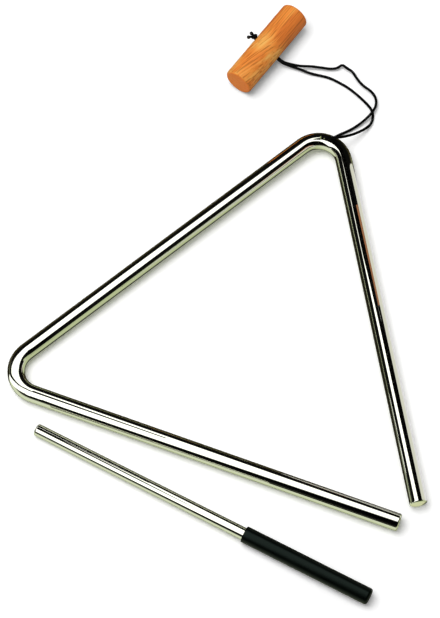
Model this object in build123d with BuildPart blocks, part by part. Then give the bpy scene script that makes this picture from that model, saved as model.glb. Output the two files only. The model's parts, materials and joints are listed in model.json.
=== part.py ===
"""Triangle instrument: a bent steel rod on a cord with a wooden toggle handle, and its beater.

Millimetres and degrees. The set lies on a surface at Z = 0, with the middle of its footprint on
the origin. +X runs along the base bar, +Y towards the bend that holds the cord, +Z up.
"""
from build123d import *
import os
from math import asin, cos, pi, radians, sin, sqrt, tan

os.makedirs("parts", exist_ok=True)

# Triangle rod
ROD_DIAMETER = 10.0
SIDE = 260.0  # from corner to corner, where the centre lines of the bars would meet
BEND_RADIUS = 15.0  # of the rod's centre line
BASE_END_SETBACK = 14.5  # of the base bar's end, from the open corner
LEG_END_SETBACK = 16.0  # of the right leg's end, from the open corner
ROD_END_ROUND = 1.0
CORD_HOLE_DIAMETER = 3.0  # drilled through the top bend, square to the triangle
CORD_HOLE_ANGLE = 102.0  # round the top bend, from +X
BASE_MIDDLE_X = -0.97  # the base bar's middle, below the top bend
BASE_MIDDLE_Y = -119.13

# Cord, one length doubled, and its knot
CORD_DIAMETER = 1.5
CORD_CLEARANCE = 0.35  # between the cord and the rod that it passes under and over
CORD_ARC_SHARE = 0.45  # of the shorter run beside a corner, taken up by the corner's arc
STRAND_SPACING = 1.9  # of the two strands in the handle's hole
STRAND_EXIT = 1.5  # from the handle's near side to where the free strands start
STRAND_FIRST_RUN = 2.6  # on along the hole's line
KNOT_GAP = 0.4  # between the handle and the knot
KNOT_DIAMETER = 5.2
KNOT_LENGTH = 3.0
KNOT_ROUND = 1.2
TAIL_ROUND = 0.5  # melted ends
TAIL_ENDS = [(0.6, 5.0), (-3.8, 3.8)]  # along the handle, and out from its far side

# Wooden handle
HANDLE_DIAMETER = 18.0
HANDLE_LENGTH = 60.0
HANDLE_ROUND = 1.5
HANDLE_HOLE_DIAMETER = 4.0
HANDLE_HOLE_SLOPE = 22.0  # down towards the triangle
HANDLE_X = -55.7  # from the top bend's centre to the handle's middle
HANDLE_Y = 62.6
HANDLE_BEARING = 74.0  # of the handle's length, from +X

# Beater
BEATER_DIAMETER = 7.0
BEATER_EXPOSED = 132.5  # from the tip to the grip's front edge
BEATER_TIP_ROUND = 1.0
GRIP_DIAMETER = 9.5
GRIP_LENGTH = 77.0
GRIP_END_WALL = 3.0
GRIP_END_ROUND = 1.5
GRIP_FRONT_ROUND = 0.3
BEATER_TIP_X = -94.0  # from the base bar's middle to the beater's tip
BEATER_TIP_Y = -18.6
BEATER_BEARING = -7.5

# Worked out from the sizes above
triangle_height = SIDE * sqrt(3) / 2
bend_centre_y = triangle_height - 2 * BEND_RADIUS  # up the triangle from the base bar
crown_lift = CORD_DIAMETER + CORD_CLEARANCE  # the top bend rests on the cord under it
triangle_tilt = asin(crown_lift / (bend_centre_y + BEND_RADIUS))
triangle_plane = Plane(
    origin=(BASE_MIDDLE_X, BASE_MIDDLE_Y, ROD_DIAMETER / 2),
    x_dir=(1, 0, 0),
    z_dir=(0, -sin(triangle_tilt), cos(triangle_tilt)),
)
hole_angle = radians(CORD_HOLE_ANGLE)
hole_centre = triangle_plane.from_local_coords(
    Vector(BEND_RADIUS * cos(hole_angle), bend_centre_y + BEND_RADIUS * sin(hole_angle), 0)
)
hole_plane = Plane(origin=hole_centre, z_dir=triangle_plane.z_dir)
bend_foot = Vector(BASE_MIDDLE_X, BASE_MIDDLE_Y + bend_centre_y * cos(triangle_tilt), 0)

handle_centre = bend_foot + Vector(HANDLE_X, HANDLE_Y, HANDLE_DIAMETER / 2)
handle_bearing = radians(HANDLE_BEARING)
hole_slope = radians(HANDLE_HOLE_SLOPE)
handle_axis = Vector(cos(handle_bearing), sin(handle_bearing), 0)
handle_hole_axis = Vector(
    sin(handle_bearing) * cos(hole_slope), -cos(handle_bearing) * cos(hole_slope), -sin(hole_slope)
)
handle_plane = Plane(origin=handle_centre, x_dir=handle_hole_axis, z_dir=handle_axis)
strand_plane = Plane(origin=handle_centre, x_dir=handle_axis, z_dir=handle_hole_axis)
strand_start = HANDLE_DIAMETER / 2 + STRAND_EXIT

grip_step = (GRIP_DIAMETER - BEATER_DIAMETER) / 2
beater_tilt = asin(grip_step / (BEATER_EXPOSED - BEATER_TIP_ROUND))  # it rests on its tip and grip
beater_bearing = radians(BEATER_BEARING)
beater_axis = Vector(
    cos(beater_bearing) * cos(beater_tilt), sin(beater_bearing) * cos(beater_tilt), sin(beater_tilt)
)
beater_tip_z = BEATER_DIAMETER / 2 * cos(beater_tilt) - BEATER_TIP_ROUND * sin(beater_tilt)
beater_tip = Vector(BASE_MIDDLE_X + BEATER_TIP_X, BASE_MIDDLE_Y + BEATER_TIP_Y, beater_tip_z)

# The cord's route, from the handle round the outside, up through the rod's hole and back along the
# inside, as points from the foot of the top bend's centre
under_bar = CORD_DIAMETER / 2
over_bar = hole_centre.Z + ROD_DIAMETER / 2 + CORD_CLEARANCE + CORD_DIAMETER / 2
outer_route = [
    (-38.8, 59.9, 4.4),
    (-33.4, 61.1, 3.3),
    (-27.8, 63.6, 2.6),
    (-21.2, 65.3, 2.2),
    (-15.2, 66.5, 2.0),
    (-11.5, 68.6, 2.1),
    (-9.8, 71.8, 2.4),
    (-6.2, 70.3, 2.3),
    (-2.2, 69.4, 2.1),
    (1.9, 65.6, 1.9),
    (6.9, 62.3, 1.8),
    (12.7, 60.6, 1.9),
    (17.1, 56.9, 2.1),
    (18.9, 51.8, 2.5),
    (18.5, 47.2, 2.8),
    (17.0, 42.5, 2.7),
    (13.8, 36.5, 1.9),
    (9.9, 31.3, 1.2),
    (6.1, 27.5, 0.85),
]
bar_route_before_hole = [(2.3, 23.5, under_bar + 0.05), (-1.2, 17.9, under_bar)]
bar_route_after_hole = [(0.5, 15.4, over_bar), (4.3, 16.6, over_bar - 0.2)]
inner_route = [
    (7.9, 19.6, 11.0),
    (11.2, 23.5, 8.2),
    (14.5, 28.3, 5.3),
    (17.9, 33.7, 3.0),
    (20.0, 38.9, 1.4),
    (19.7, 44.4, 0.8),
    (17.2, 48.9, 0.8),
    (12.4, 52.2, 0.8),
    (5.8, 55.5, 0.8),
    (-1.3, 58.5, 0.8),
    (-8.4, 60.1, 0.8),
    (-14.5, 61.0, 0.9),
    (-20.1, 60.4, 1.0),
    (-26.3, 59.5, 1.4),
    (-33.0, 59.9, 1.9),
    (-38.7, 59.4, 2.6),
]


def on_surface(points: list) -> list[Vector]:
    """Places points given from the foot of the top bend's centre."""
    return [bend_foot + Vector(*point) for point in points]


def first_run(side: int) -> list[Vector]:
    """Gives the first run of one free strand, in line with the handle's hole."""
    start = strand_plane.from_local_coords(Vector(0, side * STRAND_SPACING / 2, strand_start))
    return [start, start + handle_hole_axis * STRAND_FIRST_RUN]


def hole_point(height: float) -> Vector:
    """Gives the point at a height on the axis of the rod's hole."""
    return hole_centre + hole_plane.z_dir * ((height - hole_centre.Z) / hole_plane.z_dir.Z)


def corner_radius(before: Vector, corner: Vector, after: Vector) -> float:
    """Gives the radius of the largest even arc at a corner of the cord's route."""
    shorter_run = min((corner - before).length, (after - corner).length)
    turn = radians((corner - before).get_angle(after - corner))
    return CORD_ARC_SHARE * shorter_run / tan(turn / 2)


outer_points = first_run(1) + on_surface(outer_route)
bar_points = (
    on_surface(bar_route_before_hole)
    + [hole_point(under_bar), hole_point(over_bar)]
    + on_surface(bar_route_after_hole)
)
inner_points = on_surface(inner_route) + first_run(-1)[::-1]
route = outer_points + bar_points + inner_points
radii = [corner_radius(*corner) for corner in zip(route, route[1:], route[2:])]
outer_join = (outer_points[-1] + bar_points[0]) / 2
inner_join = (bar_points[-1] + inner_points[0]) / 2
outer_radii = radii[: len(outer_points) - 1]
bar_radii = radii[len(outer_radii) : len(outer_radii) + len(bar_points)]
inner_radii = radii[len(outer_radii) + len(bar_radii) :]

# Triangle rod, bent from one bar, with the cord's hole through its top bend
with BuildPart() as triangle_rod:
    with BuildLine(triangle_plane) as rod_line:
        FilletPolyline(
            (SIDE / 2 - BASE_END_SETBACK, 0),
            (-SIDE / 2, 0),
            (0, triangle_height),
            (SIDE / 2 - LEG_END_SETBACK / 2, LEG_END_SETBACK * sqrt(3) / 2),
            radius=BEND_RADIUS,
        )
    with BuildSketch(Plane(origin=rod_line.line @ 0, z_dir=rod_line.line % 0)):
        Circle(ROD_DIAMETER / 2)
    sweep()
    with Locations(hole_plane.offset(ROD_DIAMETER)):
        Hole(CORD_HOLE_DIAMETER / 2, depth=2 * ROD_DIAMETER)
    fillet(triangle_rod.faces().filter_by(GeomType.PLANE).edges(), ROD_END_ROUND)
triangle_rod.part.label = "triangle_rod"

# Wooden handle, a turned toggle with a sloping hole across its middle
with BuildPart() as wooden_handle:
    with BuildSketch(handle_plane):
        Circle(HANDLE_DIAMETER / 2)
    extrude(amount=HANDLE_LENGTH / 2, both=True)
    fillet(wooden_handle.faces().filter_by(GeomType.PLANE).edges(), HANDLE_ROUND)
    with Locations(strand_plane.offset(HANDLE_DIAMETER)):
        Hole(HANDLE_HOLE_DIAMETER / 2, depth=2 * HANDLE_DIAMETER)
wooden_handle.part.label = "wooden_handle"

# Cord, in three stretches that meet face to face
with BuildPart() as cord_outer_strand:
    with BuildLine() as outer_line:
        FilletPolyline(*outer_points, outer_join, radius=outer_radii)
    with BuildSketch(Plane(origin=outer_line.line @ 0, z_dir=outer_line.line % 0)):
        Circle(CORD_DIAMETER / 2)
    sweep()
cord_outer_strand.part.label = "cord_outer_strand"

with BuildPart() as cord_bar_run:
    with BuildLine() as bar_line:
        FilletPolyline(outer_join, *bar_points, inner_join, radius=bar_radii)
    with BuildSketch(Plane(origin=bar_line.line @ 0, z_dir=bar_line.line % 0)):
        Circle(CORD_DIAMETER / 2)
    sweep()
cord_bar_run.part.label = "cord_bar_run"

with BuildPart() as cord_inner_strand:
    with BuildLine() as inner_line:
        FilletPolyline(inner_join, *inner_points, radius=inner_radii)
    with BuildSketch(Plane(origin=inner_line.line @ 0, z_dir=inner_line.line % 0)):
        Circle(CORD_DIAMETER / 2)
    sweep()
cord_inner_strand.part.label = "cord_inner_strand"

# Knot behind the handle, with the two strands through the handle's hole and the tails
knot_reach = HANDLE_DIAMETER / 2 + KNOT_GAP + KNOT_LENGTH / 2
knot_middle = strand_plane.offset(-knot_reach)
with BuildPart() as cord_knot:
    with BuildSketch(knot_middle):
        Circle(KNOT_DIAMETER / 2)
    extrude(amount=KNOT_LENGTH / 2, both=True)
    fillet(cord_knot.faces().filter_by(GeomType.PLANE).edges(), KNOT_ROUND)
    with BuildSketch(knot_middle):
        with GridLocations(0, STRAND_SPACING, 1, 2):
            Circle(CORD_DIAMETER / 2)
    extrude(amount=knot_reach + strand_start)
    for along, out in TAIL_ENDS:
        tail_end = strand_plane.from_local_coords(Vector(along, 0, -HANDLE_DIAMETER / 2 - out))
        with BuildSketch(Plane(origin=knot_middle.origin, z_dir=tail_end - knot_middle.origin)):
            Circle(CORD_DIAMETER / 2)
        extrude(amount=(tail_end - knot_middle.origin).length)
        tail_faces = cord_knot.faces().filter_by(GeomType.PLANE).sort_by_distance(tail_end)
        fillet(tail_faces[0].edges(), TAIL_ROUND)
cord_knot.part.label = "cord_knot"

# Beater rod, and the grip that is pushed on to its end
beater_plane = Plane(origin=beater_tip, z_dir=beater_axis)
with BuildPart() as beater_rod:
    with BuildSketch(beater_plane):
        Circle(BEATER_DIAMETER / 2)
    extrude(amount=BEATER_EXPOSED + GRIP_LENGTH - GRIP_END_WALL)
    beater_tip_face = beater_rod.faces().filter_by(GeomType.PLANE).sort_by(Axis.X)[0]
    fillet(beater_tip_face.edges(), BEATER_TIP_ROUND)
beater_rod.part.label = "beater_rod"

with BuildPart() as beater_grip:
    with BuildSketch(beater_plane.offset(BEATER_EXPOSED)):
        Circle(GRIP_DIAMETER / 2)
    extrude(amount=GRIP_LENGTH)
    grip_ends = beater_grip.faces().filter_by(GeomType.PLANE).sort_by(Axis.X)
    fillet(grip_ends[0].edges(), GRIP_FRONT_ROUND)
    grip_back = beater_grip.faces().filter_by(GeomType.PLANE).sort_by(Axis.X)[-1]
    fillet(grip_back.edges(), GRIP_END_ROUND)
    with BuildSketch(beater_plane.offset(BEATER_EXPOSED)):
        Circle(BEATER_DIAMETER / 2)
    extrude(amount=GRIP_LENGTH - GRIP_END_WALL, mode=Mode.SUBTRACT)
beater_grip.part.label = "beater_grip"

cord_section = pi * CORD_DIAMETER**2 / 4
print("radii of the cord's corners:", [round(radius, 2) for radius in radii])
for strand, line in [
    (cord_outer_strand, outer_line),
    (cord_bar_run, bar_line),
    (cord_inner_strand, inner_line),
]:
    length = sum(edge.length for edge in line.edges())
    print(strand.part.label, "length", round(length, 1), "volume", round(strand.part.volume, 2))
    print("  section times length", round(cord_section * length, 2))

for piece in (
    triangle_rod,
    wooden_handle,
    cord_outer_strand,
    cord_bar_run,
    cord_inner_strand,
    cord_knot,
    beater_rod,
    beater_grip,
):
    export_step(piece.part, f"parts/{piece.part.label}.step")
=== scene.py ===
"""Looks of a triangle instrument: chromed rod, wooden toggle handle on a braided cord, and beater.

Everything is in metres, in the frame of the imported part: +X along the base bar, +Y towards the bend
that holds the cord, +Z up from the surface that the set lies on.
"""
import json
import logging
import math
from dataclasses import dataclass, field
from enum import Enum

import bmesh
import bpy
from mathutils import Matrix, Vector


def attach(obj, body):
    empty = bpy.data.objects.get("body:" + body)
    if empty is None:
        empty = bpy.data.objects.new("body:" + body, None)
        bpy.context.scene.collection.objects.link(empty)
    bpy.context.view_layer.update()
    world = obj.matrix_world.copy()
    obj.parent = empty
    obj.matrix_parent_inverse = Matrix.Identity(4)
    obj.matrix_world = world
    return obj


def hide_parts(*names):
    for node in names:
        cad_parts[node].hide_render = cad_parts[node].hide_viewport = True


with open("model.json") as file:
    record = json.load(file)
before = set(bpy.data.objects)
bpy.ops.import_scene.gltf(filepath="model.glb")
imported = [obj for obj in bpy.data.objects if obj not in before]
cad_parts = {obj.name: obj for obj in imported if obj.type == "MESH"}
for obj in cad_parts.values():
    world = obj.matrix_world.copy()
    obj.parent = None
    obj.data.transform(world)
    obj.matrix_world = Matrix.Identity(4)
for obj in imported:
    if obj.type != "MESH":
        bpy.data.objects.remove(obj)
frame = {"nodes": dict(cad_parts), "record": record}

logging.basicConfig(level=logging.INFO, format="%(message)s")
log = logging.getLogger("triangle")

MM = 0.001
Colour = tuple[float, float, float]
Point = tuple[float, float, float]


class Ray(Enum):
    """Kinds of light path that a surface or the surroundings can tell apart."""

    CAMERA = "Is Camera Ray"
    GLOSSY = "Is Glossy Ray"
    DIFFUSE = "Is Diffuse Ray"


@dataclass(frozen=True)
class Place:
    """Fixed points of the set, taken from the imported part's joints and nodes."""

    hole: Vector
    hole_axis: Vector
    handle: Vector
    handle_hole: Vector

    @classmethod
    def from_frame(cls) -> "Place":
        """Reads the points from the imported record.

        Returns:
            The axis of the hole in the top bend, and the handle's middle and its hole's axis.
        """
        joints = {joint["name"]: joint for joint in frame["record"]["behaviour"]["joints"]}
        swing = joints["cord_swing"]
        turn = joints["handle_turn"]
        return cls(
            hole=Vector(swing["pos_m"]),
            hole_axis=Vector(swing["axis"]).normalized(),
            handle=Vector(turn["pos_m"]),
            handle_hole=Vector(turn["axis"]).normalized(),
        )

    @property
    def handle_axis(self) -> Vector:
        """Gives the level direction of the handle's length."""
        return Vector((-self.handle_hole.y, self.handle_hole.x, 0)).normalized()

    @property
    def strand_side(self) -> Vector:
        """Gives the direction from the inner strand to the outer one in the handle's hole."""
        return self.handle_hole.cross(self.handle_axis).normalized()

    def behind_handle(self, along: float, side: float, out: float) -> Vector:
        """Places a point behind the handle.

        Args:
            along: millimetres along the handle.
            side: millimetres towards the outer strand.
            out: millimetres out from the handle's axis, away from the triangle.

        Returns:
            The point in metres.
        """
        offset = self.handle_axis * along + self.strand_side * side - self.handle_hole * out
        return self.handle + offset * MM


class Shader:
    """A material's node tree, with short ways to add and join nodes."""

    def __init__(self, tree: bpy.types.NodeTree) -> None:
        """Starts from an empty tree."""
        self.tree = tree
        tree.nodes.clear()

    def add(self, kind: str, **values: object) -> bpy.types.Node:
        """Adds a node.

        Args:
            kind: the node's type name.
            values: properties of the node, or values of its input sockets by name with _ for spaces.

        Returns:
            The new node.
        """
        node = self.tree.nodes.new(kind)
        for name, value in values.items():
            socket = name.replace("_", " ")
            if hasattr(node, name):
                setattr(node, name, value)
            else:
                node.inputs[socket].default_value = value
        return node

    def join(self, source: bpy.types.NodeSocket, target: bpy.types.NodeSocket) -> None:
        """Links an output to an input."""
        self.tree.links.new(source, target)

    def maths(self, operation: str, first: object, second: object = 0.0) -> bpy.types.NodeSocket:
        """Adds a Math node on two values.

        Args:
            operation: the Math node's operation.
            first: a socket or a number.
            second: a socket or a number.

        Returns:
            The result's socket.
        """
        node = self.add("ShaderNodeMath", operation=operation)
        for socket, value in zip(node.inputs, (first, second)):
            if isinstance(value, bpy.types.NodeSocket):
                self.join(value, socket)
            else:
                socket.default_value = value
        return node.outputs[0]

    def ramp(self, value: bpy.types.NodeSocket, stops: list[tuple[float, Colour]]) -> bpy.types.NodeSocket:
        """Adds a colour ramp.

        Args:
            value: the socket that drives the ramp.
            stops: positions and colours, in order.

        Returns:
            The ramp's colour socket.
        """
        node = self.add("ShaderNodeValToRGB")
        elements = node.color_ramp.elements
        while len(elements) < len(stops):
            elements.new(0.5)
        for element, (position, colour) in zip(elements, stops):
            element.position = position
            element.color = (*colour, 1.0)
        self.join(value, node.inputs["Fac"])
        return node.outputs["Color"]

    def blend(self, share: object, first: object, second: object) -> bpy.types.NodeSocket:
        """Mixes two colours.

        Args:
            share: a socket or a number, 0 for the first colour and 1 for the second.
            first: a socket or a colour.
            second: a socket or a colour.

        Returns:
            The mixed colour's socket.
        """
        node = self.add("ShaderNodeMix", data_type="RGBA")
        for socket, value in ((node.inputs[0], share), (node.inputs[6], first), (node.inputs[7], second)):
            if isinstance(value, bpy.types.NodeSocket):
                self.join(value, socket)
            elif isinstance(value, tuple):
                socket.default_value = (*value, 1.0)
            else:
                socket.default_value = value
        return node.outputs[2]

    def scaled(self, value: bpy.types.NodeSocket, factor: float, base: float) -> bpy.types.NodeSocket:
        """Gives a value times a factor, plus a base."""
        return self.maths("ADD", self.maths("MULTIPLY", value, factor), base)

    def reach(self, vector: bpy.types.NodeSocket, direction: Vector | Point) -> bpy.types.NodeSocket:
        """Gives how far a vector goes along a direction."""
        node = self.add("ShaderNodeVectorMath", operation="DOT_PRODUCT")
        self.join(vector, node.inputs[0])
        node.inputs[1].default_value = direction
        return node.outputs["Value"]

    def fade(
        self, value: bpy.types.NodeSocket, start: float, end: float, low: float = 0.0, high: float = 1.0
    ) -> bpy.types.NodeSocket:
        """Adds a soft step from one number to another.

        Args:
            value: what the step reads.
            start: where the step is at low.
            end: where the step is at high.
            low: the number before the step.
            high: the number after it.

        Returns:
            The step's socket.
        """
        node = self.add("ShaderNodeMapRange", interpolation_type="SMOOTHSTEP")
        for name, number in (("From Min", start), ("From Max", end), ("To Min", low), ("To Max", high)):
            node.inputs[name].default_value = number
        self.join(value, node.inputs["Value"])
        return node.outputs["Result"]

    def emboss(
        self, surface: bpy.types.Node, height: bpy.types.NodeSocket, strength: float, depth: float
    ) -> None:
        """Gives a surface its fine relief.

        Args:
            surface: the Principled shader.
            height: the relief's value.
            strength: share of the relief that shows.
            depth: its depth in millimetres.
        """
        bump = self.add("ShaderNodeBump", Strength=strength, Distance=depth * MM)
        self.join(height, bump.inputs["Height"])
        self.join(bump.outputs["Normal"], surface.inputs["Normal"])


def material(name: str) -> tuple[bpy.types.Material, Shader, bpy.types.Node]:
    """Starts a material with a Principled shader.

    Args:
        name: the material's name.

    Returns:
        The material, its tree and its shader node.
    """
    made = bpy.data.materials.new(name)
    made.use_nodes = True
    shader = Shader(made.node_tree)
    surface = shader.add("ShaderNodeBsdfPrincipled")
    output = shader.add("ShaderNodeOutputMaterial")
    shader.join(surface.outputs["BSDF"], output.inputs["Surface"])
    return made, shader, surface


def handling_group() -> bpy.types.NodeTree:
    """Builds the shared node group of handling marks: broad smears and fine rubbed lines.

    Returns:
        The group, with inputs Vector, Smear Scale and Line Scale, and outputs Smear and Lines.
    """
    name = "handling_marks"
    if name in bpy.data.node_groups:
        return bpy.data.node_groups[name]
    group = bpy.data.node_groups.new(name, "ShaderNodeTree")
    interface = group.interface
    interface.new_socket("Vector", in_out="INPUT", socket_type="NodeSocketVector")
    interface.new_socket("Smear Scale", in_out="INPUT", socket_type="NodeSocketFloat")
    interface.new_socket("Line Scale", in_out="INPUT", socket_type="NodeSocketFloat")
    interface.new_socket("Smear", in_out="OUTPUT", socket_type="NodeSocketFloat")
    interface.new_socket("Lines", in_out="OUTPUT", socket_type="NodeSocketFloat")
    shader = Shader(group)
    source = shader.add("NodeGroupInput")
    result = shader.add("NodeGroupOutput")
    smear = shader.add("ShaderNodeTexNoise", Detail=4.0, Roughness=0.55)
    lines = shader.add("ShaderNodeTexNoise", Detail=2.0, Roughness=0.7)
    for node, scale in ((smear, "Smear Scale"), (lines, "Line Scale")):
        shader.join(source.outputs["Vector"], node.inputs["Vector"])
        shader.join(source.outputs[scale], node.inputs["Scale"])
    shader.join(smear.outputs["Fac"], result.inputs["Smear"])
    shader.join(lines.outputs["Fac"], result.inputs["Lines"])
    return group


def marks(shader: Shader, smear: float, lines: float) -> bpy.types.Node:
    """Places the handling group in a material.

    Args:
        shader: the material's tree.
        smear: scale of the broad smears, per metre.
        lines: scale of the fine lines, per metre.

    Returns:
        The group's node.
    """
    node = shader.add("ShaderNodeGroup")
    node.node_tree = handling_group()
    place = shader.add("ShaderNodeTexCoord")
    shader.join(place.outputs["Object"], node.inputs["Vector"])
    node.inputs["Smear Scale"].default_value = smear
    node.inputs["Line Scale"].default_value = lines
    return node


@dataclass(frozen=True)
class ChromeFinish:
    """Bright plate on steel, a little warm, with faint polishing haze and rubbed lines."""

    name: str
    tint: Colour = (0.80, 0.81, 0.70)
    hazed_tint: Colour = (0.76, 0.77, 0.66)
    gloss: float = 0.045
    haze: float = 0.05
    line_depth: float = 0.03
    smear_scale: float = 45.0
    line_scale: float = 2600.0

    def make(self) -> bpy.types.Material:
        """Builds the material."""
        made, shader, surface = material(self.name)
        worn = marks(shader, self.smear_scale, self.line_scale)
        surface.inputs["Metallic"].default_value = 1.0
        tone = shader.blend(worn.outputs["Smear"], self.tint, self.hazed_tint)
        shader.join(tone, surface.inputs["Base Color"])
        rough = shader.scaled(worn.outputs["Smear"], self.haze, self.gloss - self.haze / 2)
        shader.join(rough, surface.inputs["Roughness"])
        shader.emboss(surface, worn.outputs["Lines"], self.line_depth, 0.02)
        return made


@dataclass(frozen=True)
class WoodFinish:
    """Straight-grained hardwood under clear varnish, with streaks and short dark pores."""

    name: str
    middle: Vector
    axis: Vector
    flame: Colour = (0.87, 0.52, 0.14)
    pale: Colour = (0.85, 0.39, 0.085)
    body: Colour = (0.83, 0.275, 0.045)
    dark: Colour = (0.72, 0.19, 0.03)
    pore: Colour = (0.40, 0.11, 0.018)
    end: Colour = (0.92, 0.225, 0.028)
    # painted shade colour: grey shown to diffuse rays only, so the light the wood bounces onto the floor
    # and its shade there stay neutral
    bounce_grey: Colour = (0.34, 0.33, 0.31)
    varnish: float = 0.1
    lean: float = 0.24
    smear_scale: float = 90.0
    line_scale: float = 1800.0

    def make(self) -> bpy.types.Material:
        """Builds the material."""
        made, shader, surface = material(self.name)
        place = shader.add("ShaderNodeTexCoord")
        turn = self.axis.to_track_quat("Z", "Y").to_matrix().to_4x4()
        local = (Matrix.Translation(self.middle) @ turn).inverted()
        lay = shader.add("ShaderNodeMapping", vector_type="POINT")
        lay.inputs["Location"].default_value = local.to_translation()
        lay.inputs["Rotation"].default_value = local.to_euler("XYZ")
        shader.join(place.outputs["Object"], lay.inputs["Vector"])
        grain = self.leaning(shader, lay.outputs["Vector"])

        zones = self.stretched(shader, grain, (1.0, 1.0, 0.22), 95.0, 2.0)
        streaks = self.stretched(shader, grain, (1.0, 1.0, 0.05), 520.0, 4.0)
        lines = self.stretched(shader, grain, (1.0, 1.0, 0.04), 1050.0, 2.0)
        mixed = shader.maths("MULTIPLY", zones, 0.4)
        mixed = shader.maths("ADD", mixed, shader.maths("MULTIPLY", streaks, 0.45))
        mixed = shader.maths("ADD", mixed, self.tone_and_shade_plan(shader, lay.outputs["Vector"]))
        stops = [(0.36, self.dark), (0.45, self.body), (0.54, self.pale), (0.62, self.flame)]
        tone = shader.ramp(mixed, stops)
        line_mask = shader.ramp(lines, [(0.38, (1.0, 1.0, 1.0)), (0.47, (0.0, 0.0, 0.0))])
        tone = shader.blend(shader.maths("MULTIPLY", line_mask, 0.65), tone, self.pore)
        ends = shader.maths("ABSOLUTE", shader.reach(place.outputs["Normal"], self.axis))
        on_end = shader.ramp(ends, [(0.75, (0.0, 0.0, 0.0)), (0.92, (0.85, 0.85, 0.85))])
        tone = shader.blend(on_end, tone, self.end)
        # painted shade colour: diffuse rays see the wood as grey, so its shade on the floor carries no
        # orange
        rays = shader.add("ShaderNodeLightPath")
        tone = shader.blend(rays.outputs[Ray.DIFFUSE.value], tone, self.bounce_grey)
        shader.join(tone, surface.inputs["Base Color"])

        worn = marks(shader, self.smear_scale, self.line_scale)
        rough = shader.scaled(worn.outputs["Smear"], 0.2, 0.3)
        shader.join(rough, surface.inputs["Roughness"])
        surface.inputs["Coat Weight"].default_value = self.varnish
        surface.inputs["Coat Roughness"].default_value = 0.16
        surface.inputs["Specular IOR Level"].default_value = 0.1
        shader.emboss(surface, mixed, 0.25, 0.05)
        return made

    @staticmethod
    def tone_and_shade_plan(shader: Shader, along: bpy.types.NodeSocket) -> bpy.types.NodeSocket:
        """Gives the slow changes of the tone: yellow over the middle and redder at the top, with painted
        shade making one side darker and redder.

        Args:
            shader: the material's tree.
            along: coordinates with Z along the handle and X to its left.

        Returns:
            What is added to the grain's value.
        """
        parts = shader.add("ShaderNodeSeparateXYZ")
        shader.join(along, parts.inputs["Vector"])
        changes = []
        for value, start, end, low, high in (
            (shader.maths("ABSOLUTE", parts.outputs["Z"]), 13 * MM, 1 * MM, 0.0, 0.10),
            (parts.outputs["Z"], -8 * MM, 10 * MM, 0.055, -0.05),
            # painted shade: darker, redder tone on the handle's right side, away from the light
            (parts.outputs["X"], -8 * MM, 2 * MM, -0.07, 0.0),
        ):
            changes.append(shader.fade(value, start, end, low, high))
        return shader.maths("ADD", changes[0], shader.maths("ADD", changes[1], changes[2]))

    def leaning(self, shader: Shader, along: bpy.types.NodeSocket) -> bpy.types.NodeSocket:
        """Leans the grain to one side over the lower half of the handle.

        Args:
            shader: the material's tree.
            along: coordinates with Z along the handle.

        Returns:
            Coordinates with Z along the grain.
        """
        parts = shader.add("ShaderNodeSeparateXYZ")
        shader.join(along, parts.inputs["Vector"])
        shift = shader.maths("MULTIPLY", shader.maths("MINIMUM", parts.outputs["Z"], 0.004), self.lean)
        moved = shader.add("ShaderNodeCombineXYZ")
        shader.join(shader.maths("ADD", parts.outputs["X"], shift), moved.inputs["X"])
        shader.join(parts.outputs["Y"], moved.inputs["Y"])
        shader.join(parts.outputs["Z"], moved.inputs["Z"])
        return moved.outputs["Vector"]

    @staticmethod
    def stretched(
        shader: Shader, grain: bpy.types.NodeSocket, shape: Point, scale: float, detail: float
    ) -> bpy.types.NodeSocket:
        """Adds noise that is drawn out along the grain.

        Args:
            shader: the material's tree.
            grain: coordinates with Z along the grain.
            shape: share of the scale on each axis.
            scale: scale across the grain, per metre.
            detail: octaves of the noise.

        Returns:
            The noise's value.
        """
        drawn = shader.add("ShaderNodeVectorMath", operation="MULTIPLY")
        shader.join(grain, drawn.inputs[0])
        drawn.inputs[1].default_value = shape
        noise = shader.add("ShaderNodeTexNoise", Scale=scale, Detail=detail, Roughness=0.6, Distortion=0.35)
        shader.join(drawn.outputs["Vector"], noise.inputs["Vector"])
        return noise.outputs["Fac"]


@dataclass(frozen=True)
class BraidFinish:
    """Black braid with a slight sheen, with painted shade darkening the gaps between the yarns."""

    name: str
    yarn: Colour = (0.0030, 0.0030, 0.0034)
    gap_shade: Colour = (0.0006, 0.0006, 0.0007)
    smear_scale: float = 300.0
    line_scale: float = 9000.0

    def make(self) -> bpy.types.Material:
        """Builds the material."""
        made, shader, surface = material(self.name)
        relief = shader.add("ShaderNodeAttribute", attribute_name=BraidTree.RELIEF)
        # painted shade: the low parts of the braid's relief, between the yarns, take the darker colour
        tone = shader.blend(relief.outputs["Fac"], self.gap_shade, self.yarn)
        shader.join(tone, surface.inputs["Base Color"])
        worn = marks(shader, self.smear_scale, self.line_scale)
        rough = shader.scaled(worn.outputs["Lines"], 0.25, 0.42)
        shader.join(rough, surface.inputs["Roughness"])
        surface.inputs["Specular IOR Level"].default_value = 0.06
        shader.emboss(surface, worn.outputs["Lines"], 0.4, 0.03)
        return made


@dataclass(frozen=True)
class MeltedFinish:
    """Cord ends melted to a hard black bead."""

    name: str
    tone: Colour = (0.003, 0.003, 0.0034)
    smear_scale: float = 700.0
    line_scale: float = 3000.0

    def make(self) -> bpy.types.Material:
        """Builds the material."""
        made, shader, surface = material(self.name)
        worn = marks(shader, self.smear_scale, self.line_scale)
        shade = tuple(0.6 * part for part in self.tone)
        shader.join(shader.blend(worn.outputs["Smear"], self.tone, shade), surface.inputs["Base Color"])
        rough = shader.scaled(worn.outputs["Smear"], 0.3, 0.15)
        shader.join(rough, surface.inputs["Roughness"])
        shader.emboss(surface, worn.outputs["Smear"], 0.5, 0.1)
        return made


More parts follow.
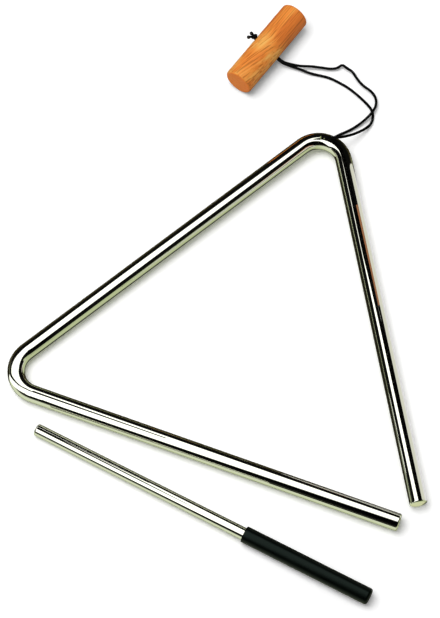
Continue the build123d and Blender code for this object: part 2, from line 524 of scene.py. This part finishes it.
@dataclass(frozen=True)
class GripFinish:
    """Dull black sleeve with a fine moulded grain and a few paler rubs."""

    name: str
    tone: Colour = (0.0005, 0.0008, 0.0006)
    rubbed: Colour = (0.0012, 0.0020, 0.0016)
    smear_scale: float = 120.0
    line_scale: float = 4200.0

    def make(self) -> bpy.types.Material:
        """Builds the material."""
        made, shader, surface = material(self.name)
        worn = marks(shader, self.smear_scale, self.line_scale)
        tone = shader.blend(worn.outputs["Smear"], self.tone, self.rubbed)
        shader.join(tone, surface.inputs["Base Color"])
        rough = shader.scaled(worn.outputs["Smear"], 0.14, 0.22)
        shader.join(rough, surface.inputs["Roughness"])
        surface.inputs["Specular IOR Level"].default_value = 0.13
        surface.inputs["Specular Tint"].default_value = (0.70, 1.0, 0.85, 1.0)
        shader.emboss(surface, worn.outputs["Lines"], 0.35, 0.04)
        return made


class BraidTree:
    """Geometry nodes that sweep a braided cord along a curve."""

    RELIEF = "relief"
    SIZES = {"Radius": 0.84 * MM, "Step": 0.22 * MM, "Relief Depth": 0.07 * MM, "Yarn Pitch": 3.4 * MM}

    def __init__(self) -> None:
        """Builds the node tree once, with its sizes as named inputs."""
        self.tree = bpy.data.node_groups.new("braided_cord", "GeometryNodeTree")
        self.tree.is_modifier = True
        face = self.tree.interface
        face.new_socket("Geometry", in_out="INPUT", socket_type="NodeSocketGeometry")
        self.sockets = {
            name: face.new_socket(name, in_out="INPUT", socket_type="NodeSocketFloat").identifier
            for name in self.SIZES
        }
        self.sockets["Material"] = face.new_socket(
            "Material", in_out="INPUT", socket_type="NodeSocketMaterial"
        ).identifier
        face.new_socket("Geometry", in_out="OUTPUT", socket_type="NodeSocketGeometry")
        self.build(Shader(self.tree))

    def build(self, nodes: Shader) -> None:
        """Adds the tree's nodes.

        Args:
            nodes: the tree's short ways to add and join nodes.
        """
        sides = 24
        yarns = 4.0
        source = nodes.add("NodeGroupInput")
        result = nodes.add("NodeGroupOutput")
        even = nodes.add("GeometryNodeResampleCurve", mode="LENGTH")
        nodes.join(source.outputs["Geometry"], even.inputs["Curve"])
        nodes.join(source.outputs["Step"], even.inputs["Length"])
        along = nodes.add("GeometryNodeCaptureAttribute", domain="POINT")
        along.capture_items.new("FLOAT", "along")
        nodes.join(even.outputs["Curve"], along.inputs["Geometry"])
        run = nodes.add("GeometryNodeSplineParameter")
        nodes.join(run.outputs["Length"], along.inputs[1])
        ring = nodes.add("GeometryNodeCurvePrimitiveCircle")
        ring.inputs["Resolution"].default_value = sides
        nodes.join(source.outputs["Radius"], ring.inputs["Radius"])
        around = nodes.add("GeometryNodeCaptureAttribute", domain="POINT")
        around.capture_items.new("FLOAT", "around")
        nodes.join(ring.outputs["Curve"], around.inputs["Geometry"])
        turn = nodes.add("GeometryNodeSplineParameter")
        nodes.join(turn.outputs["Factor"], around.inputs[1])
        sweep = nodes.add("GeometryNodeCurveToMesh")
        sweep.inputs["Fill Caps"].default_value = True
        nodes.join(along.outputs["Geometry"], sweep.inputs["Curve"])
        nodes.join(around.outputs["Geometry"], sweep.inputs["Profile Curve"])

        steps = nodes.maths("DIVIDE", along.outputs[1], source.outputs["Yarn Pitch"])
        right_hand = nodes.maths("ADD", around.outputs[1], steps)
        left_hand = nodes.maths("SUBTRACT", around.outputs[1], steps)
        waves = []
        for hand in (right_hand, left_hand):
            angle = nodes.maths("MULTIPLY", hand, yarns * math.tau)
            waves.append(nodes.maths("COSINE", angle))
        crossing = nodes.maths("MULTIPLY", waves[0], waves[1])
        relief = nodes.maths("MULTIPLY", nodes.maths("ADD", crossing, 1.0), 0.5)

        keep = nodes.add("GeometryNodeStoreNamedAttribute", data_type="FLOAT", domain="POINT")
        keep.inputs["Name"].default_value = self.RELIEF
        nodes.join(sweep.outputs["Mesh"], keep.inputs["Geometry"])
        nodes.join(relief, keep.inputs["Value"])
        normal = nodes.add("GeometryNodeInputNormal")
        lift = nodes.add("ShaderNodeVectorMath", operation="SCALE")
        nodes.join(normal.outputs["Normal"], lift.inputs["Vector"])
        lowered = nodes.maths("SUBTRACT", relief, 1.0)
        nodes.join(nodes.maths("MULTIPLY", lowered, source.outputs["Relief Depth"]), lift.inputs["Scale"])
        shape = nodes.add("GeometryNodeSetPosition")
        nodes.join(keep.outputs["Geometry"], shape.inputs["Geometry"])
        nodes.join(lift.outputs["Vector"], shape.inputs["Offset"])
        smooth = nodes.add("GeometryNodeSetShadeSmooth")
        nodes.join(shape.outputs["Geometry"], smooth.inputs["Geometry"])
        real = nodes.add("GeometryNodeRealizeInstances")
        nodes.join(smooth.outputs["Geometry"], real.inputs["Geometry"])
        dress = nodes.add("GeometryNodeSetMaterial")
        nodes.join(real.outputs["Geometry"], dress.inputs["Geometry"])
        nodes.join(source.outputs["Material"], dress.inputs["Material"])
        nodes.join(dress.outputs["Geometry"], result.inputs["Geometry"])

    def sweep(self, name: str, paths: list[list[Vector]], finish: bpy.types.Material) -> bpy.types.Object:
        """Sweeps the braid along one or more smooth paths.

        Args:
            name: the piece's name.
            paths: control points of each path, in metres.
            finish: the cord's material.

        Returns:
            One plain mesh object with every swept path.
        """
        holder = bpy.data.objects.new(f"{name}_line", smooth_curve(f"{name}_line", paths))
        bpy.context.scene.collection.objects.link(holder)
        modifier = holder.modifiers.new("braid", "NODES")
        modifier.node_group = self.tree
        for size, value in self.SIZES.items():
            modifier[self.sockets[size]] = value
        modifier[self.sockets["Material"]] = finish
        bpy.context.view_layer.update()
        ready = holder.evaluated_get(bpy.context.evaluated_depsgraph_get())
        mesh = bpy.data.meshes.new_from_object(ready, preserve_all_data_layers=True)
        mesh.name = name
        bpy.data.objects.remove(holder, do_unlink=True)
        return add_piece(name, mesh)


def smooth_curve(name: str, paths: list[list[Vector]]) -> bpy.types.Curve:
    """Makes smooth open splines from control points.

    Args:
        name: the curve's name.
        paths: control points of each spline, in metres.

    Returns:
        A curve with no bevel.
    """
    curve = bpy.data.curves.new(name, "CURVE")
    curve.dimensions = "3D"
    curve.resolution_u = 12
    for points in paths:
        spline = curve.splines.new("NURBS")
        spline.points.add(len(points) - 1)
        for knot, point in zip(spline.points, points):
            knot.co = (*point, 1.0)
        spline.order_u = 3
        spline.use_endpoint_u = True
    return curve


def line_points(points: list[Vector]) -> list[Vector]:
    """Reads the smooth line that a route's control points give.

    Args:
        points: the route's control points, in metres.

    Returns:
        Points along the line.
    """
    holder = bpy.data.objects.new("route", smooth_curve("route", [points]))
    bpy.context.scene.collection.objects.link(holder)
    bpy.context.view_layer.update()
    ready = holder.evaluated_get(bpy.context.evaluated_depsgraph_get())
    mesh = bpy.data.meshes.new_from_object(ready)
    found = [vertex.co.copy() for vertex in mesh.vertices]
    bpy.data.objects.remove(holder, do_unlink=True)
    bpy.data.meshes.remove(mesh)
    return found


def add_piece(name: str, mesh: bpy.types.Mesh) -> bpy.types.Object:
    """Adds a mesh to the scene as a piece at the origin."""
    piece = bpy.data.objects.new(name, mesh)
    bpy.context.scene.collection.objects.link(piece)
    return piece


@dataclass
class HangingCord:
    """The doubled cord: out of the handle, through the hole in the top bend and back, and its knot."""

    place: Place
    braid: BraidTree
    diameter: float = 1.5
    spacing: float = 1.9
    start_out: float = 10.5
    first_run: float = 2.6
    bend_radius: float = 15.0
    rod_radius: float = 5.0
    clearance: float = 0.35
    hole_angle: float = 102.0
    near_mouth: float = 9.0
    bead_radius: float = 1.12
    tail_ends: tuple[tuple[float, float], ...] = ((0.57, 13.1), (-2.6, 12.85))
    outer_route: list[Point] = field(
        default_factory=lambda: [
            (-38.8, 59.9, 4.4), (-33.4, 61.1, 3.3), (-27.8, 63.6, 2.6), (-21.2, 65.3, 2.2),
            (-15.2, 66.5, 2.0), (-11.5, 68.6, 2.1), (-9.8, 71.8, 2.4), (-6.2, 70.3, 2.3),
            (-2.2, 69.4, 2.1), (1.9, 65.6, 1.9), (6.9, 62.3, 1.8), (12.7, 60.6, 1.9),
            (17.1, 56.9, 2.1), (18.9, 51.8, 2.5), (18.5, 47.2, 2.8), (17.0, 42.5, 2.7),
            (13.8, 36.5, 1.9), (9.9, 31.3, 1.2), (6.1, 27.5, 0.85), (2.3, 23.5, 0.8),
            (-1.2, 17.9, 0.75),
        ]
    )
    inner_route: list[Point] = field(
        default_factory=lambda: [
            (0.5, 15.4, 12.95), (4.3, 16.6, 12.75), (7.9, 19.6, 11.0), (11.2, 23.5, 8.2),
            (14.5, 28.3, 5.3), (17.9, 33.7, 3.0), (20.0, 38.9, 1.4), (19.7, 44.4, 0.8),
            (17.2, 48.9, 0.8), (12.4, 52.2, 0.8), (5.8, 55.5, 0.8), (-1.3, 58.5, 0.8),
            (-8.4, 60.1, 0.8), (-14.5, 61.0, 0.9), (-20.1, 60.4, 1.0), (-26.3, 59.5, 1.4),
            (-33.0, 59.9, 1.9), (-38.7, 59.4, 2.6),
        ]
    )

    def bend_foot(self) -> Vector:
        """Gives the point on the surface below the top bend's centre."""
        angle = math.radians(self.hole_angle)
        reach = Vector((math.cos(angle), math.sin(angle), 0)) * self.bend_radius * MM
        foot = self.place.hole - reach
        return Vector((foot.x, foot.y, 0))

    def hole_point(self, height: float) -> Vector:
        """Gives the point at a height, in millimetres, on the axis of the hole in the bend."""
        axis = self.place.hole_axis
        return self.place.hole + axis * ((height * MM - self.place.hole.z) / axis.z)

    def strand_start(self, side: int, out: float) -> Vector:
        """Gives a point on one strand's straight run out of the handle.

        Args:
            side: 1 for the outer strand, -1 for the inner one.
            out: millimetres out from the handle's axis, towards the triangle.

        Returns:
            The point in metres.
        """
        return self.place.behind_handle(0, side * self.spacing / 2, -out)

    def route(self) -> list[Vector]:
        """Gives the control points of the whole free cord, from the handle and back to it."""
        foot = self.bend_foot()
        over = self.place.hole.z / MM + self.rod_radius + self.clearance + self.diameter / 2
        under = self.diameter / 2
        end_run = self.start_out + self.first_run
        near_corner = 3.7
        outer = [foot + Vector(point) * MM for point in self.outer_route]
        inner = [foot + Vector(point) * MM for point in self.inner_route]
        heights = (under, under + near_corner, over - near_corner, over)
        hole = [self.hole_point(height) for height in heights]
        return (
            [self.strand_start(1, self.start_out), self.strand_start(1, end_run)]
            + outer
            + hole
            + inner
            + [self.strand_start(-1, end_run), self.strand_start(-1, self.start_out)]
        )

    def knot_paths(self) -> list[list[Vector]]:
        """Gives the control points of the two strands through the handle, their turns and tails."""
        behind = self.place.behind_handle
        half = self.spacing / 2
        mouth, rising = 9.2, 0.7
        outer = [behind(0, half, out) for out in (-self.start_out, 0, mouth)]
        inner = [behind(0, -half, out) for out in (-self.start_out, 0, mouth)]
        turn_wide, turn_tall = 0.95, 1.7
        turn_start, turn_run = math.radians(80), math.radians(330)
        steps = 14
        for step in range(steps):
            rise = step / (steps - 1)
            angle = turn_start - rise * turn_run
            spot = (turn_wide * math.cos(angle), turn_tall * math.sin(angle))
            middle = 0.55 * (1 - rise)
            outer.append(behind(middle + spot[0], spot[1], 10.1 + rising * rise))
            inner.append(behind(middle - spot[0], -spot[1], 10.2 + rising * rise))
        outer += [behind(0.25, 0.35, 11.6), behind(0.45, 0.2, 12.4), self.tail_end(0)]
        inner += [behind(-0.9, -0.25, 11.6), behind(-1.8, -0.1, 12.35), self.tail_end(1)]
        return [outer, inner]

    def tail_end(self, tail: int) -> Vector:
        """Gives the point where one of the knot's two tails ends."""
        along, out = self.tail_ends[tail]
        return self.place.behind_handle(along, 0.0, out)

    def add_beads(self, knot: bpy.types.Object, finish: bpy.types.Material) -> None:
        """Adds the melted bead on the end of each tail.

        Args:
            knot: the knot's piece.
            finish: the beads' material.
        """
        knot.data.materials.append(finish)
        slot = len(knot.data.materials) - 1
        shape = bmesh.new()
        shape.from_mesh(knot.data)
        braided = len(shape.faces)
        for tail in range(len(self.tail_ends)):
            spot = Matrix.Translation(self.tail_end(tail))
            bmesh.ops.create_icosphere(shape, subdivisions=3, radius=self.bead_radius * MM, matrix=spot)
        shape.faces.ensure_lookup_table()
        for face in shape.faces[braided:]:
            face.material_index = slot
            face.smooth = True
        shape.to_mesh(knot.data)
        shape.free()

    def build(self, finish: BraidFinish, melted: MeltedFinish) -> None:
        """Builds the free cord and the knot, and puts them in the frame.

        Args:
            finish: the braid's finish.
            melted: the finish of the tails' ends.
        """
        black = finish.make()
        route = self.route()
        cord = self.braid.sweep("hanging_cord", [route], black)
        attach(cord, "cord")
        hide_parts("cord_outer_strand", "cord_bar_run", "cord_inner_strand")
        paths = self.knot_paths()
        knot = self.braid.sweep("cord_knot_tied", paths, black)
        self.add_beads(knot, melted.make())
        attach(knot, "cord")
        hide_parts("cord_knot")
        line = line_points(route)
        length = sum((b - a).length for a, b in zip(line, line[1:]))
        tuple(self.strand_start(1, self.near_mouth))
        log.info("hanging_cord: %.1f mm along its line", length / MM)


@dataclass
class PhotoCamera:
    """The camera where the photograph was taken from."""

    target: Point = (-0.0242, -0.0307, 0.0)
    azimuth: float = 20.41
    elevation: float = 66.25
    distance: float = 1.166
    lens: float = 116.9
    sensor: float = 36.0

    def build(self) -> None:
        """Adds the camera and makes it the scene's."""
        azimuth, elevation = math.radians(self.azimuth), math.radians(self.elevation)
        ahead = Vector(
            (
                -math.sin(azimuth) * math.cos(elevation),
                math.cos(azimuth) * math.cos(elevation),
                -math.sin(elevation),
            )
        )
        data = bpy.data.cameras.new("photo_camera")
        data.lens = self.lens
        data.sensor_width = self.sensor
        camera = bpy.data.objects.new("photo_camera", data)
        camera.location = Vector(self.target) - ahead * self.distance
        camera.rotation_mode = "QUATERNION"
        camera.rotation_quaternion = ahead.to_track_quat("-Z", "Y")
        bpy.context.scene.collection.objects.link(camera)
        bpy.context.scene.camera = camera


@dataclass
class Panel:
    """A flat soft light."""

    name: str
    position: Point
    aim: Point
    size: tuple[float, float]
    radiance: float
    in_reflections: bool = True

    def build(self) -> None:
        """Adds the light."""
        data = bpy.data.lights.new(self.name, "AREA")
        data.shape = "RECTANGLE"
        data.size, data.size_y = self.size
        data.energy = self.radiance * math.pi * self.size[0] * self.size[1]
        light = bpy.data.objects.new(self.name, data)
        light.location = self.position
        toward = Vector(self.aim) - Vector(self.position)
        light.rotation_mode = "QUATERNION"
        light.rotation_quaternion = toward.to_track_quat("-Z", "Y")
        light.visible_glossy = self.in_reflections
        bpy.context.scene.collection.objects.link(light)


def glowing(name: str) -> tuple[bpy.types.Material, Shader, bpy.types.Node]:
    """Starts a material that only glows.

    Args:
        name: the material's name.

    Returns:
        The material, its tree and its Emission node.
    """
    made = bpy.data.materials.new(name)
    made.use_nodes = True
    shader = Shader(made.node_tree)
    glow = shader.add("ShaderNodeEmission")
    output = shader.add("ShaderNodeOutputMaterial")
    shader.join(glow.outputs[0], output.inputs["Surface"])
    return made, shader, glow


def reflected_only(name: str, corners: list[Point], made: bpy.types.Material) -> None:
    """Adds a flat card that lights nothing and only shows in bright surfaces.

    Args:
        name: the card's name.
        corners: its corners in turn.
        made: its material.
    """
    mesh = bpy.data.meshes.new(name)
    mesh.from_pydata(corners, [], [tuple(range(len(corners)))])
    mesh.materials.append(made)
    card = bpy.data.objects.new(name, mesh)
    bpy.context.scene.collection.objects.link(card)
    card.visible_camera = False
    card.visible_diffuse = False
    card.visible_transmission = False
    card.visible_shadow = False


@dataclass
class ReflectionFlag:
    """A small plain card close to the set, which only shows in bright surfaces as a painted reflection,
    glowing or black.
    """

    name: str
    corners: list[Point]
    colour: Colour = (0.0, 0.0, 0.0)

    def build(self) -> None:
        """Adds the card."""
        made, _, glow = glowing(self.name)
        glow.inputs["Color"].default_value = (*self.colour, 1.0)
        reflected_only(self.name, self.corners, made)


# painted reflections: small glowing and black cards close to the rods, which only the rods' bright surfaces
# show
SMALL_CARDS = [
    ReflectionFlag(
        "right_leg_flag",
        [
            (0.1270, -0.1165, 0.03), (0.0833, -0.0475, 0.03), (0.0573, -0.0050, 0.03),
            (0.0425, 0.0155, 0.03), (0.0299, 0.0283, 0.03), (0.0097, 0.0652, 0.03),
            (0.0013, 0.0797, 0.03), (-0.0085, 0.0915, 0.03), (-0.0030, 0.1040, 0.03),
            (0.0095, 0.1000, 0.03), (0.0186, 0.0880, 0.03), (0.0694, 0.0027, 0.03),
            (0.0825, -0.0040, 0.03), (0.1421, -0.1068, 0.03),
        ],
    ),
    ReflectionFlag(
        "amber_card",
        [
            (0.0704, 0.0183, 0.0387), (0.0789, 0.0235, 0.0301), (0.0442, 0.0807, 0.0312),
            (0.0338, 0.0744, 0.0403),
        ],
        (0.42, 0.18, 0.095),
    ),
    ReflectionFlag(
        "right_side_card",
        [
            (0.1466, -0.0866, 0.0342), (0.0854, 0.0197, 0.0329), (0.0350, 0.1070, 0.0317),
            (0.0225, 0.0881, 0.0070), (0.0733, 0.0029, 0.0070), (0.1347, -0.1005, 0.0070),
        ],
        (0.82, 0.81, 0.76),
    ),
    ReflectionFlag(
        "right_low_card",
        [
            (0.1347, -0.1005, 0.0070), (0.0733, 0.0029, 0.0070), (0.0225, 0.0881, 0.0070),
            (0.0324, 0.0483, -0.0080), (0.0663, -0.0068, -0.0080), (0.1207, -0.0951, -0.0080),
        ],
        (0.91, 0.9, 0.98),
    ),
    ReflectionFlag(
        "leg_end_card",
        [
            (0.1180, -0.1080, -0.0200), (0.1400, -0.1080, -0.0200), (0.1400, -0.1240, -0.0200),
            (0.1180, -0.1240, -0.0200),
        ],
        (0.72, 0.74, 0.48),
    ),
    ReflectionFlag(
        "bend_low_card",
        [
            (-0.1503, -0.1182, 0.0033), (-0.1455, -0.1256, 0.0176), (-0.1350, -0.1274, 0.0299),
            (-0.1258, -0.1273, 0.0350), (-0.1199, -0.1348, 0.0336), (-0.1164, -0.1425, 0.0286),
            (-0.1219, -0.1444, 0.0235), (-0.1325, -0.1422, 0.0159), (-0.1411, -0.1357, 0.0044),
            (-0.1454, -0.1253, -0.0047),
        ],
        (1.7, 1.7, 1.7),
    ),
    ReflectionFlag(
        "bend_side_card",
        [
            (-0.1327, -0.0881, 0.0348), (-0.1391, -0.0921, 0.0316), (-0.1441, -0.0984, 0.0282),
            (-0.1470, -0.1066, 0.0247), (-0.1467, -0.1153, 0.0230), (-0.1444, -0.1189, 0.0248),
            (-0.1394, -0.1202, 0.0297), (-0.1308, -0.1217, 0.0347), (-0.1236, -0.1118, 0.0380),
            (-0.1266, -0.1038, 0.0377), (-0.1267, -0.0967, 0.0379), (-0.1260, -0.0903, 0.0379),
        ],
        (1.7, 1.7, 1.7),
    ),
    ReflectionFlag(
        "bend_line_flag",
        [
            (-0.1335, -0.1179, 0.0344), (-0.1340, -0.1261, 0.0313), (-0.1250, -0.1255, 0.0359),
            (-0.1169, -0.1207, 0.0386), (-0.1114, -0.1203, 0.0392), (-0.1114, -0.1126, 0.0385),
            (-0.1151, -0.1122, 0.0384), (-0.1218, -0.1184, 0.0381), (-0.1300, -0.1206, 0.0354),
            (-0.1308, -0.1151, 0.0361),
        ],
    ),
    ReflectionFlag(
        "beater_line_flag",
        [
            (-0.1006, -0.1325, 0.0177), (-0.0325, -0.1426, 0.0189), (0.0173, -0.1524, 0.0199),
            (-0.0331, -0.1479, 0.0192), (-0.1014, -0.1389, 0.0184),
        ],
    ),
    ReflectionFlag(
        "base_line_flag",
        [
            (-0.1160, -0.0965, 0.0600), (-0.1160, -0.1205, 0.0600), (-0.0308, -0.1140, 0.0600),
            (-0.0311, -0.1024, 0.0600),
        ],
    ),
]


@dataclass
class ReflectionCard:
    """A level white card with soft edges over the set, which only shows in bright surfaces as a painted
    reflection of a light.
    """

    name: str
    height: float
    corners: list[tuple[float, float]]
    softness: list[float]
    radiance: float = 1.9

    def build(self) -> None:
        """Adds the card, with its corners in turn anticlockwise and a softness for each edge after them."""
        spare = max(self.softness)
        left, right = min(x for x, _ in self.corners) - spare, max(x for x, _ in self.corners) + spare
        near, far = min(y for _, y in self.corners) - spare, max(y for _, y in self.corners) + spare
        outline = [(left, near), (left, far), (right, far), (right, near)]
        reflected_only(self.name, [(x, y, self.height) for x, y in outline], self.make_glow())

    def make_glow(self) -> bpy.types.Material:
        """Builds the glow, which fades across each edge."""
        made, shader, glow = glowing(self.name)
        place = shader.add("ShaderNodeTexCoord")
        total = None
        for index, corner in enumerate(self.corners):
            after = self.corners[(index + 1) % len(self.corners)]
            start = Vector((*corner, 0))
            run = Vector((*after, 0)) - start
            inward = Vector((-run.y, run.x, 0)).normalized()
            edge, soft = inward.dot(start), self.softness[index]
            share = shader.fade(shader.reach(place.outputs["Object"], inward), edge - soft, edge + soft)
            total = share if total is None else shader.maths("MULTIPLY", total, share)
        shader.join(shader.maths("MULTIPLY", total, self.radiance), glow.inputs["Strength"])
        return made


@dataclass
class Studio:
    """White surface, dark room and soft light from above and from the left."""

    floor_size: float = 6.0
    floor_white: Colour = (0.6, 0.6, 0.6)
    floor_shown: Colour = (1.13, 1.13, 1.13)
    room_fill: float = 0.45
    room_dark: Colour = (0.004, 0.004, 0.004)
    surface_dark: Colour = (0.055, 0.045, 0.022)
    surface_left: Colour = (0.012, 0.012, 0.008)
    horizon_left: Colour = (0.23, 0.237, 0.17)
    # painted shadow: the rods' own shadow below them, as their lower edges mirror it
    rod_shadow_mirrored: Colour = (0.035, 0.035, 0.028)
    surface_pale: Colour = (0.57, 0.635, 0.40)
    surface_near: Colour = (0.80, 0.85, 0.68)
    pale_side: Point = (0.866, -0.5, 0.0)
    wall_side: Point = (0.5, 0.866, 0.0)
    panels: list[Panel] = field(
        default_factory=lambda: [
            Panel("key", (-0.50, -0.05, 1.50), (0.0, 0.0, 0.0), (1.1, 1.1), 4.6, in_reflections=False),
        ]
    )
    cards: list[ReflectionCard] = field(
        default_factory=lambda: [
            ReflectionCard(
                "overhead_card",
                0.55,
                [
                    (-0.46, -1.06),
                    (-0.26, -0.87),
                    (-0.08, -0.60),
                    (0.12, -0.20),
                    (0.25, 0.06),
                    (0.265, 0.16),
                    (0.20, 0.31),
                    (-0.40, 0.33),
                    (-0.52, -0.90),
                ],
                [0.035] * 9,
            ),
        ]
    )
    flags: list[ReflectionFlag] = field(default_factory=lambda: list(SMALL_CARDS))

    def build(self) -> None:
        """Adds the floor, the surroundings and the lights."""
        self.build_floor()
        self.build_room()
        for light in (*self.panels, *self.cards, *self.flags):
            light.build()
        bpy.context.scene.view_settings.view_transform = "Standard"

    def build_floor(self) -> None:
        """Adds the white surface that the set lies on."""
        half = self.floor_size / 2
        mesh = bpy.data.meshes.new("floor")
        corners = [(-half, -half, 0), (half, -half, 0), (half, half, 0), (-half, half, 0)]
        mesh.from_pydata(corners, [], [(0, 1, 2, 3)])
        floor = bpy.data.objects.new("floor", mesh)
        bpy.context.scene.collection.objects.link(floor)
        made = bpy.data.materials.new("white_surface")
        made.use_nodes = True
        shader = Shader(made.node_tree)
        rays = shader.add("ShaderNodeLightPath")
        matte = shader.add("ShaderNodeBsdfDiffuse")
        tone = shader.blend(rays.outputs[Ray.CAMERA.value], self.floor_white, self.floor_shown)
        shader.join(tone, matte.inputs["Color"])
        output = shader.add("ShaderNodeOutputMaterial")
        shader.join(matte.outputs[0], output.inputs["Surface"])
        mesh.materials.append(made)
        floor.visible_glossy = False

    def build_room(self) -> None:
        """Makes the room white to the camera, soft on matt surfaces and full of contrast in bright ones."""
        world = bpy.data.worlds.new("studio")
        bpy.context.scene.world = world
        world.use_nodes = True
        shader = Shader(world.node_tree)
        rays = shader.add("ShaderNodeLightPath")
        lit = shader.add("ShaderNodeBackground")
        output = shader.add("ShaderNodeOutputWorld")
        fill = (self.room_fill,) * 3
        seen = shader.blend(rays.outputs[Ray.GLOSSY.value], fill, self.mirrored_room(shader))
        tone = shader.blend(rays.outputs[Ray.CAMERA.value], seen, (1.0, 1.0, 1.0))
        shader.join(tone, lit.inputs["Color"])
        shader.join(lit.outputs[0], output.inputs["Surface"])

    def mirrored_room(self, shader: Shader) -> bpy.types.NodeSocket:
        """Builds what bright surfaces mirror: a dark room, over a surface that is pale on one side, with a
        painted shadow of the rods below them.

        Args:
            shader: the surroundings' tree.

        Returns:
            The colour's socket.
        """
        place = shader.add("ShaderNodeTexCoord")
        parts = shader.add("ShaderNodeSeparateXYZ")
        shader.join(place.outputs["Generated"], parts.inputs["Vector"])
        height = parts.outputs["Z"]
        leans = []
        for side in (self.pale_side, self.wall_side):
            leans.append(shader.reach(place.outputs["Generated"], side))
        side, lean = leans
        below = shader.fade(height, 0.02, -0.02)
        left = shader.fade(lean, -0.2, -0.5)
        dim = shader.blend(left, self.surface_dark, self.surface_left)
        level = shader.maths(
            "MULTIPLY", shader.fade(height, -0.09, -0.03), shader.fade(height, 0.11, 0.05)
        )
        dark = shader.blend(below, self.room_dark, dim)
        dark = shader.blend(shader.maths("MULTIPLY", level, left), dark, self.horizon_left)
        pale = shader.blend(shader.fade(lean, -0.3, -0.9), self.surface_pale, self.surface_near)
        wall = shader.maths("MULTIPLY", shader.maths("MULTIPLY", lean, lean), 0.21)
        top = shader.maths("ADD", shader.maths("MULTIPLY", lean, 0.40), shader.maths("ADD", wall, 0.125))
        low = shader.fade(shader.maths("SUBTRACT", height, top), 0.03, -0.03)
        # painted shadow: steep downward directions show the dark of the rods' shadow on the surface below
        # them
        steep = shader.fade(height, -0.70, -0.82)
        under = shader.maths("MULTIPLY", steep, shader.fade(lean, -0.3, 0.1))
        rising = shader.fade(height, -0.4, 0.2)
        away = shader.maths("MULTIPLY", shader.maths("MAXIMUM", lean, 0.0), rising)
        toward = shader.maths("MULTIPLY", shader.maths("MINIMUM", lean, 0.0), 1.1)
        spread = shader.maths("SUBTRACT", side, shader.maths("ADD", away, toward))
        share = shader.maths("MULTIPLY", shader.fade(spread, -0.07, 0.07), low)
        return shader.blend(under, shader.blend(share, dark, pale), self.rod_shadow_mirrored)


def dress(node: str, finish: bpy.types.Material) -> None:
    """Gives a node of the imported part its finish."""
    shown = frame["nodes"][node]
    shown.data.materials.clear()
    shown.data.materials.append(finish)
    log.info("%s: %s", node, finish.name)


def main() -> None:
    """Builds the looks of every piece, the studio and the camera."""
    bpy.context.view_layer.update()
    place = Place.from_frame()
    PhotoCamera().build()
    HangingCord(place, BraidTree()).build(BraidFinish("black_braid"), MeltedFinish("melted_end"))
    chrome = ChromeFinish("bright_chrome").make()
    dress("triangle_rod", chrome)
    dress("beater_rod", chrome)
    dress("wooden_handle", WoodFinish("varnished_hardwood", place.handle, place.handle_axis).make())
    dress("beater_grip", GripFinish("dull_black_sleeve").make())
    Studio().build()


if __name__ == "__main__":
    main()
